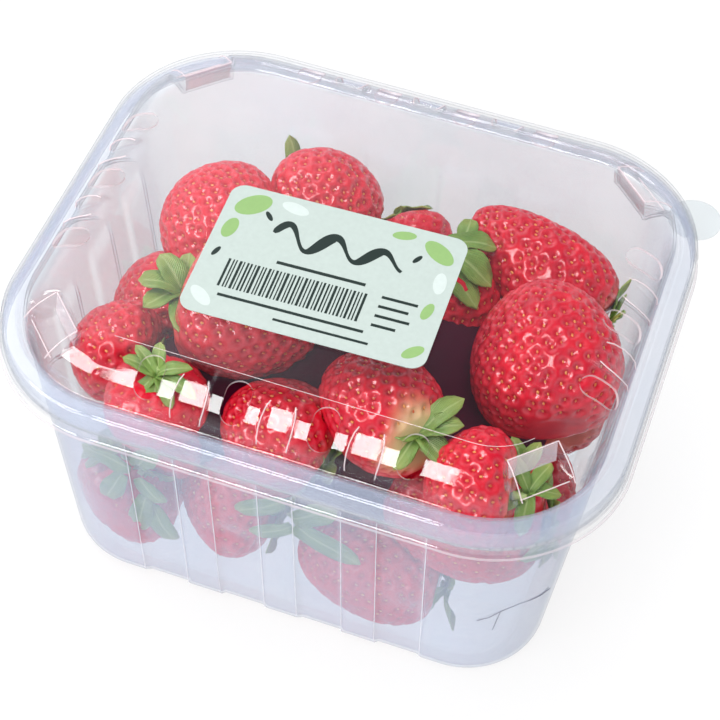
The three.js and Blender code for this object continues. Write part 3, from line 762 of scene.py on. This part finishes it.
def gather(name, parts, material):
    """Joins parts, each of points, faces and attributes, into one piece of the heap."""
    points, faces, attributes, start = [], [], {}, 0
    for part_points, part_faces, part_attributes in parts:
        points.append(part_points)
        faces += [tuple(int(corner) + start for corner in face) for face in part_faces]
        for key, values in part_attributes.items():
            attributes.setdefault(key, []).append(values)
        start += len(part_points)
    piece = add_mesh(name, np.concatenate(points), faces,
                     {key: np.concatenate(values) for key, values in attributes.items()})
    only(piece)
    bpy.ops.object.shade_smooth()
    piece.data.materials.append(material)
    stands_for(piece, "strawberries")
    return piece


def attribute(tree, name):
    return add_node(tree, "ShaderNodeAttribute", attribute_name=name).outputs["Fac"]


def make_flesh_material():
    """Glossy red skin, mottled, and pale or greenish round the calyx, with painted shade darkening its pits
    and painted highlight rings round their rims.
    """
    material, tree = new_material("strawberry_skin")
    spots = spread(tree, noise(tree, Scale=130.0, Detail=4.0, Roughness=0.6), 0.35, 0.75)
    # Painted shade: the skin is darker in the pits.
    pits = calculate(tree, "MULTIPLY", attribute(tree, "pit"), 0.55)
    # Painted highlight: a lighter ring round each pit's rim.
    rings = calculate(tree, "MULTIPLY", attribute(tree, "ring"), 0.22)
    base = mix_colours(tree, attribute(tree, "red_depth"), (0.68, 0.004, 0.026), (0.50, 0.002, 0.022))
    base = mix_colours(tree, spots, base, (0.80, 0.012, 0.030))
    base = mix_colours(tree, pits, base, (0.34, 0.002, 0.010))
    base = mix_colours(tree, rings, base, (0.92, 0.12, 0.17))
    base = mix_colours(tree, attribute(tree, "pale"), base, (0.80, 0.66, 0.34))
    grain = bumps(tree, noise(tree, Scale=1400.0, Detail=2.0), 0.08, 0.0002)
    show(tree, add_node(tree, "ShaderNodeBsdfPrincipled", Base_Color=base, Roughness=0.15,
                        Specular_IOR_Level=0.6, Subsurface_Weight=0.1, Subsurface_Radius=(1.0, 0.25, 0.15),
                        Subsurface_Scale=0.002, Normal=grain))
    return material


def make_seed_material():
    material, tree = new_material("strawberry_seeds")
    base = mix_colours(tree, attribute(tree, "tone"), (0.84, 0.36, 0.10), (0.66, 0.12, 0.04))
    show(tree, add_node(tree, "ShaderNodeBsdfPrincipled", Base_Color=base, Roughness=0.3))
    return material


flesh = make_flesh_material()
seed_finish = make_seed_material()
skins, seed_parts = [], []
for index, berry in enumerate(BERRIES):
    seed_angle, seed_turn = seed_places(berry)
    seed_points = berry_point(berry, index, seed_angle, seed_turn)
    skins.append(make_skin(berry, index, seed_points))
    seed_parts.append(make_seeds(berry, index, seed_angle, seed_turn))
PILES = {                        # which berries make up each piece of the heap
    "berries_back": (0, 1, 2, 3, 4),
    "berries_top": (5, 6, 8),
    "berries_front": (11, 12, 13, 14, 15, 16, 17),
    "berries_lower": (7, 9, 10, *range(18, 30)),
}
for name, members in PILES.items():
    gather(name, [skins[member] for member in members], flesh)
gather("berry_seeds", seed_parts, seed_finish)

# The core is a dark filler inside the heap, painted shade that shows only in the gaps.
CORE_LOBES = (                   # centre and half size
    ((0, 3, 33), (50, 36, 29)), ((-30, -20, 38), (20, 17, 18)),
)
lobes = []
for centre, half_size in CORE_LOBES:
    lobe = add_primitive(bpy.ops.mesh.primitive_ico_sphere_add, subdivisions=4, radius=1)
    lobe.scale = [size * MM for size in half_size]
    lobe.location = [place * MM for place in centre]
    apply_placing()
    lobes.append(lobe)
core = join(lobes, "heap_core")
bpy.ops.object.shade_smooth()
core.data.materials.append(plain_finish("heap_core_painted_shade", (0.075, 0.003, 0.020), 0.8, shine=0.05))
stands_for(core, "strawberries")


# ---------- the calyxes ----------
# Each green calyx is a ring of pointed leaves round a short stalk. The leaves arch over the berry's
# shoulder and curl up at their tips, and a fold runs along the middle of each.

LEAF_STEPS, LEAF_HALF_STEPS = 9, 2
LEAF_LENGTH, LEAF_WIDTH, LEAF_THICKNESS = 0.43, 0.21, 0.35      # length and width as shares of the berry's
STALK_RADIUS, STALK_LENGTH, STALK_ROOT = 1.1, 3.2, 1.2


def make_leaf(base, out, up, length, width, start_angle, bend, phase):
    """A leaf from its base outwards, bending up or down along the way; points, faces and attributes."""
    side = np.cross(up, out)
    share = np.linspace(0, 1, LEAF_STEPS)
    angle = start_angle + bend * share + 0.12 * np.sin(6 * share + phase)
    step = length / (LEAF_STEPS - 1)
    travel = out * np.cos(angle)[:, None] + up * np.sin(angle)[:, None]
    middle = base + np.concatenate([np.zeros((1, 3)), np.cumsum(travel[:-1] * step, axis=0)])
    upward = up * np.cos(angle)[:, None] - out * np.sin(angle)[:, None]
    half = width / 2 * (1 - share) ** 0.6 * (0.5 + 1.6 * share) / 0.86
    across = np.linspace(-1, 1, 2 * LEAF_HALF_STEPS + 1)
    points = []
    for value in across:
        wave = 0.18 * np.sin(9 * share + phase + 2 * value) * abs(value)
        lift = half * (0.3 * abs(value) + wave)
        points.append(middle + side * (half * value)[:, None] + upward * lift[:, None])
    points = np.stack(points, axis=1)
    columns = len(across)
    faces = []
    for row in range(LEAF_STEPS - 1):
        for column in range(columns - 1):
            corner = row * columns + column
            faces.append((corner, corner + columns, corner + columns + 1, corner + 1))
    return points.reshape(-1, 3), faces, {
        "leaf_along": np.repeat(share, columns), "leaf_across": np.tile(across, LEAF_STEPS)}


def make_calyx(index, berry):
    """All the leaves of one berry."""
    calyx, along, across, beside, _ = berry_axes(berry)
    width = berry.width
    count = berry.sepals + 2
    parts = []
    for number in range(count):
        turn = 2 * math.pi * (number + 0.3 * math.sin(5 * number + index)) / count
        out = across * math.cos(turn) + beside * math.sin(turn)
        size = 0.85 + 0.25 * math.sin(4 * number + 3 * index)
        start = -0.25 + 0.3 * math.sin(3 * number + 2 * index)
        bend = 0.25 + 0.7 * math.sin(2 * number + index)
        parts.append(make_leaf(calyx - along * (0.2 + 0.25 * (number % 2)) + out * 0.7, out, -along,
                               width * LEAF_LENGTH * size, width * LEAF_WIDTH * (0.85 + 0.3 * (number % 2)),
                               start, bend, number + index))
    return parts


PLACED_LEAVES = {                # the leaves that show best: base, tip, width and how far the middle arches
    4: (((15, 25, 68), (26, 30.5, 64), 6, 1.5), ((15, 23, 68), (28, 19.5, 62.5), 8, 1.5),
        ((15, 20, 67.5), (26.4, 13, 60.8), 7, 1.5), ((18, 28, 66), (17.5, 36, 66), 5, 1)),
    5: (((50, -26, 57), (45, -21, 62), 4, 1), ((50, -26, 57), (52, -20, 62), 4, 1)),
    6: (((26, -31, 66), (34, -22, 72), 5.5, 2), ((26, -31, 66), (36, -28, 70), 6, 2),
        ((26, -31, 66), (35, -36, 64), 6, 2), ((26, -31, 66), (23, -39, 61), 5.5, 2),
        ((26, -31, 66), (20, -35, 68), 5, 1), ((26, -31, 66), (24, -24, 70), 5, 1)),
    8: (((-40, -10, 65), (-48, -5, 70), 6.5, 2), ((-40, -10, 65), (-50, -14, 69), 6.5, 2),
        ((-40, -10, 65), (-46, -20, 67), 6, 2), ((-40, -10, 65), (-34, -24, 66), 6.5, 3),
        ((-40, -10, 65), (-41, -2, 70), 5, 1)),
    11: (((-34, -39, 70), (-43, -38, 71), 3.8, 1), ((-34, -39, 70), (-23, -42, 69), 3.6, 2),
         ((-34, -39, 70), (-26, -36, 72), 3.6, 2), ((-34, -39, 70), (-36, -32, 73), 3.4, 1),
         ((-34, -39, 70), (-39, -46, 65), 3.8, 1), ((-34, -39, 70), (-32, -47, 65), 4, 1),
         ((-34, -39, 70), (-41, -35, 73), 3.2, 1), ((-34, -39, 70), (-28, -45, 67), 3.4, 1)),
    12: (((53, -33, 60), (46, -27, 64), 3.6, 1), ((53, -33, 60), (56, -25, 62), 3.8, 1),
         ((53, -33, 60), (60, -30, 58), 4, 1), ((53, -33, 60), (54, -42, 55), 4.4, 1),
         ((53, -33, 60), (47, -39, 57), 3.8, 1)),
}
FRONT_LEAVES = (                 # leaves pressed against the front wall
    ((1, -51, 54), (-11, -50, 44), 6, 1), ((3, -50, 44), (-8, -49, 35), 5, 1),
    ((4, -50, 45), (20, -50, 37), 9, 1), ((3, -50, 47), (14, -51, 58), 7, 1),
    ((-37, -50, 47), (-50, -48, 48), 6, 1), ((-35, -50, 49), (-30, -51, 60), 6, 1),
    ((-35, -50, 44), (-29, -49, 36), 6, 1), ((-33, -48, 32), (-28, -47, 18), 7, 1),
    ((-34, -49, 36), (-38, -47, 17), 6, 1), ((-40, -49, 42), (-45, -48, 29), 6, 1),
)


def place_leaf(base, tip, width, arch, outward, number):
    """A leaf from its base to its tip, whose middle stands out by that much."""
    base, tip = np.array(base, float), np.array(tip, float)
    length = np.linalg.norm(tip - base)
    out = (tip - base) / length
    up = np.array(outward, float) - out * (out @ np.array(outward, float))
    lean = 2 * arch / length
    return make_leaf(base, out, up / np.linalg.norm(up), length, width, lean, -2 * lean, number)


def make_leaf_material():
    """Leaf green with a paler midrib and veins, lighter towards the tip."""
    material, tree = new_material("strawberry_leaves")
    along = attribute(tree, "leaf_along")
    across = calculate(tree, "ABSOLUTE", attribute(tree, "leaf_across"))
    base = mix_colours(tree, noise(tree, Scale=220.0, Detail=3.0), (0.06, 0.15, 0.02), (0.30, 0.44, 0.10))
    base = mix_colours(tree, spread(tree, along, 0.55, 1.0, 0.0, 0.5), base, (0.45, 0.46, 0.12))
    base = mix_colours(tree, spread(tree, across, 0.0, 0.16, 0.6, 0.0), base, (0.48, 0.58, 0.26))
    slant = calculate(tree, "SUBTRACT", along, across)
    veins = calculate(tree, "SINE", calculate(tree, "MULTIPLY", slant, 46))
    show(tree, add_node(tree, "ShaderNodeBsdfPrincipled", Base_Color=base, Roughness=0.42,
                        Subsurface_Weight=0.1, Subsurface_Scale=0.001,
                        Normal=bumps(tree, veins, 0.35, 0.0003)))
    return material


leaf_finish = make_leaf_material()
leaf_parts = []
for index, berry in enumerate(BERRIES):
    if index in PLACED_LEAVES:
        leaf_parts += [place_leaf(*leaf, (0, 0, 1), number)
                       for number, leaf in enumerate(PLACED_LEAVES[index])]
    elif berry.sepals:
        leaf_parts += make_calyx(index, berry)
leaf_parts += [place_leaf(*leaf, (0, -1, 0), number) for number, leaf in enumerate(FRONT_LEAVES)]
leaf_parts = [(keep_in_room(points), faces, attributes) for points, faces, attributes in leaf_parts]
leaves = gather("berry_leaves", leaf_parts, leaf_finish)
finish_with(leaves, "SOLIDIFY", thickness=LEAF_THICKNESS * MM, offset=0)

# The stalks are short green stubs where the berries were picked.
stalks = []
for index, berry in enumerate(BERRIES):
    if index == NO_STALK or not berry.sepals:
        continue
    calyx, along, _, _, _ = berry_axes(berry)
    stalk = add_primitive(bpy.ops.mesh.primitive_cone_add, vertices=12, radius1=STALK_RADIUS * MM,
                          radius2=0.7 * STALK_RADIUS * MM, depth=STALK_LENGTH * MM)
    stalk.rotation_euler = Vector(-along).to_track_quat("Z", "Y").to_euler()
    stalk.location = Vector(calyx - along * (STALK_LENGTH / 2 - STALK_ROOT)) * MM
    apply_placing()
    stalk.data.materials.append(leaf_finish)
    stalks.append(stalk)
stalks = join(stalks, "berry_stalks")
bpy.ops.object.shade_smooth_by_angle(angle=math.radians(40))
stands_for(stalks, "strawberries")


# ---------- the label ----------
# A paper sticker with round corners on the lid's flat top, printed with plain ovals, a brush stroke,
# bars and lines.

LABEL_LENGTH, LABEL_WIDTH, LABEL_CORNER, LABEL_THICKNESS = 57, 40, 3.5, 0.2
LABEL_X, LABEL_Y, LABEL_BOTTOM, LABEL_TURN = -4, -11, 87.1, 2
label = add_primitive(bpy.ops.mesh.primitive_plane_add, size=1)
label.name = "label_paper"
label.scale = (LABEL_LENGTH * MM, LABEL_WIDTH * MM, 1)
bpy.ops.object.transform_apply(location=False, rotation=False, scale=True)
bpy.ops.object.mode_set(mode="EDIT")
bpy.ops.mesh.select_all(action="SELECT")
bpy.ops.mesh.bevel(offset=LABEL_CORNER * MM, segments=10, affect="VERTICES")
bpy.ops.mesh.extrude_region_move(TRANSFORM_OT_translate={"value": (0, 0, LABEL_THICKNESS * MM)})
bpy.ops.mesh.select_all(action="SELECT")
bpy.ops.mesh.normals_make_consistent(inside=False)
bpy.ops.object.mode_set(mode="OBJECT")
label.data.materials.append(plain_finish("label_paper_stock", (0.48, 0.55, 0.515), 0.42))


def settle_on_lid(piece, height):
    """Moves a piece that was made round the origin to the label's place, at that height."""
    only(piece)
    piece.rotation_euler = (0, 0, math.radians(LABEL_TURN))
    piece.location = (LABEL_X * MM, LABEL_Y * MM, height * MM)
    apply_placing()


settle_on_lid(label, LABEL_BOTTOM)
stands_for(label, "label")

PRINT_THICKNESS = 0.03
OVALS = (                        # place on the label, half sizes, turn in degrees and ink
    (-22.2, 14.6, 4.6, 2.8, 40, "light"), (-12.6, 16.6, 3.4, 1.6, -12, "faint"),
    (-25.0, 6.2, 3.2, 1.7, 82, "light"), (-17.6, 12.4, 1.6, 0.6, -50, "dark"),
    (22.6, 14.2, 4.4, 2.3, -36, "light"), (13.6, 16.8, 2.8, 1.3, 14, "light"),
    (25.2, 5.4, 3.2, 1.5, 96, "faint"), (18.4, 10.8, 1.5, 0.6, 60, "dark"),
    (-25.6, -1.6, 1.6, 0.6, 70, "dark"), (24.8, -3.4, 2.6, 1.2, 78, "light"),
    (-24.4, -15.2, 3.4, 1.6, -40, "faint"), (25.0, -15.6, 2.8, 1.4, 44, "light"),
)
inks = {
    "light": plain_finish("light_green_ink", (0.26, 0.43, 0.15), 0.4),
    "faint": plain_finish("faint_white_ink", (0.60, 0.67, 0.64), 0.4),
    "dark": plain_finish("dark_ink", (0.010, 0.022, 0.018), 0.35),
}
prints = []
for x, y, half_length, half_width, oval_turn, ink in OVALS:
    oval = add_primitive(bpy.ops.mesh.primitive_cylinder_add, vertices=40, radius=MM,
                         depth=PRINT_THICKNESS * MM, location=(x * MM, y * MM, 0))
    oval.scale = (half_length, half_width, 1)
    oval.rotation_euler = (0, 0, math.radians(oval_turn))
    oval.data.materials.append(inks[ink])
    prints.append(oval)


def add_bar(x, y, length, height):
    bar = add_primitive(bpy.ops.mesh.primitive_cube_add, size=1, location=(x * MM, y * MM, 0))
    bar.scale = (length * MM, height * MM, PRINT_THICKNESS * MM)
    bar.data.materials.append(inks["dark"])
    prints.append(bar)


BAR_COUNT, BAR_HEIGHT, BARS_Y = 38, 8.5, -7
bar_x = -22.0
for number in range(BAR_COUNT):
    bar_width = 0.3 + 0.34 * (0.5 + 0.5 * math.sin(2.4 * number + 1)) ** 2
    add_bar(bar_x + bar_width / 2, BARS_Y, bar_width, BAR_HEIGHT)
    bar_x += bar_width + 0.34 + 0.2 * (0.5 + 0.5 * math.cos(3.1 * number))
for row, length in enumerate((8.4, 7.0, 8.0, 5.6)):
    add_bar(14 + length / 2, -2.6 - 2.8 * row, length, 0.8)
add_bar(-1, -0.4, 21, 0.9)
add_bar(-4, -13.6, 34, 0.8)
add_bar(4, -16.6, 22, 0.7)
STROKE_STEPS, WAVES = 80, 17
share = np.linspace(0, 1, STROKE_STEPS)
stroke_x = -15 + 31 * share
stroke_y = 8 + 3.7 * np.sin(share * WAVES) * (1 - 0.4 * share)
swelling = 0.5 + 0.5 * np.sin(share * WAVES + 1.2)
stroke_half = 0.4 + 1.1 * swelling * np.sin(math.pi * share) ** 0.3
slope = np.gradient(stroke_y, stroke_x)
lean = np.c_[-slope, np.ones(STROKE_STEPS)] / np.hypot(slope, 1)[:, None] * stroke_half[:, None]
middle = np.c_[stroke_x, stroke_y]
outline = np.c_[np.r_[middle + lean, middle - lean], np.zeros(2 * STROKE_STEPS)]
stroke = add_mesh("brush_stroke", outline,
                  [(place, place + STROKE_STEPS, place + STROKE_STEPS + 1, place + 1)
                   for place in range(STROKE_STEPS - 1)])
stroke.data.materials.append(inks["dark"])
finish_with(stroke, "SOLIDIFY", thickness=PRINT_THICKNESS * MM, offset=0)
prints.append(stroke)
label_print = join(prints, "label_print")
apply_placing()
settle_on_lid(label_print, LABEL_BOTTOM + LABEL_THICKNESS)
stands_for(label_print, "label")


# ---------- the studio ----------
# A white table in a white room whose ceiling is dark. Two windows show in the plastic's shine, two
# softboxes only light the punnet, and the camera looks down on its front.

floor = add_primitive(bpy.ops.mesh.primitive_plane_add, size=6)
floor.name = "studio_floor"
floor_finish, tree = new_material("white_table")
white = add_node(tree, "ShaderNodeBsdfDiffuse", Color=(0.18, 0.18, 0.18, 1))
glow = add_node(tree, "ShaderNodeEmission", Color=(1, 1, 1, 1), Strength=0.8)
lit_table = add_node(tree, "ShaderNodeAddShader")
plug(tree, white.outputs[0], lit_table.inputs[0])
plug(tree, glow.outputs[0], lit_table.inputs[1])
show(tree, lit_table)
floor.data.materials.append(floor_finish)

CEILING_LOW, CEILING_HIGH = 0.25, 0.62          # lit up to the first rise, dark above the second
BRIGHT_PLACE = (-0.58, 0.58, 0.57)              # behind, up on the left
world = bpy.context.scene.world or bpy.data.worlds.new("studio")
bpy.context.scene.world = world
world.use_nodes = True
room = world.node_tree
room.nodes.clear()
direction = add_node(room, "ShaderNodeTexCoord").outputs["Generated"]
rise = add_node(room, "ShaderNodeSeparateXYZ", Vector=direction).outputs["Z"]
walls = spread(room, rise, CEILING_LOW, CEILING_HIGH, 0.95, 0.05, interpolation_type="SMOOTHSTEP")
closeness = add_node(room, "ShaderNodeVectorMath", operation="DOT_PRODUCT")
plug(room, direction, closeness.inputs[0])
plug(room, BRIGHT_PLACE, closeness.inputs[1])
glare = spread(room, closeness.outputs["Value"], 0.87, 0.96, 0.0, 1.4, interpolation_type="SMOOTHSTEP")
sky = add_node(room, "ShaderNodeBackground", Color=(0.90, 0.95, 1.0, 1),
               Strength=calculate(room, "ADD", walls, glare))
add_node(room, "ShaderNodeOutputWorld", Surface=sky.outputs[0])


def add_softbox(name, azimuth, elevation, distance, width, height, radiance, mirrored, roll=0):
    """A light that faces the punnet, seen in its shine or else only lighting it; azimuth 0 is in front."""
    light = bpy.data.lights.new(name, "AREA")
    light.shape = "RECTANGLE"
    light.size, light.size_y = width, height
    light.energy = radiance * math.pi * width * height
    box = bpy.data.objects.new(name, light)
    box.visible_glossy = mirrored
    box.visible_diffuse = not mirrored
    bpy.context.scene.collection.objects.link(box)
    turn, rise = math.radians(azimuth), math.radians(elevation)
    spot = Vector((math.sin(turn) * math.cos(rise), -math.cos(turn) * math.cos(rise), math.sin(rise)))
    box.location = spot * distance + Vector((0, 0, 0.06))
    facing = spot.to_track_quat("Z", "Y") @ Quaternion((0, 0, 1), math.radians(roll))
    box.rotation_euler = facing.to_euler()


add_softbox("front_window", -19, 53, 0.9, 0.23, 0.46, 13, True, roll=15)
add_softbox("side_window", -54, 45, 0.956, 0.5, 0.36, 11, True, roll=21)
add_softbox("top_softbox", -60, 84, 1.3, 1.7, 1.7, 2.9, False)
add_softbox("front_fill", -20, 28, 1.2, 0.9, 0.8, 3.4, False)

AZIMUTH, ELEVATION, ROLL = map(math.radians, (16.7, 51.1, 3.3))
DISTANCE, AIM, LENS = 0.5014, Vector((0.0005, 0.0047, 0.040)), 101.35
back = Vector((math.sin(AZIMUTH) * math.cos(ELEVATION), -math.cos(AZIMUTH) * math.cos(ELEVATION),
               math.sin(ELEVATION)))
level = Vector((math.cos(AZIMUTH), math.sin(AZIMUTH), 0))
upright = back.cross(level)
right = level * math.cos(ROLL) + upright * math.sin(ROLL)
up = upright * math.cos(ROLL) - level * math.sin(ROLL)
lens = bpy.data.cameras.new("camera")
lens.lens, lens.sensor_width, lens.clip_start = LENS, 36, 0.01
camera = bpy.data.objects.new("camera", lens)
bpy.context.scene.collection.objects.link(camera)
turn = Matrix((right, up, back)).transposed().to_4x4()
camera.matrix_world = Matrix.Translation(back * DISTANCE + AIM) @ turn
bpy.context.scene.camera = camera
bpy.context.scene.view_settings.view_transform = "Standard"
bpy.context.scene.cycles.transparent_max_bounces = 32
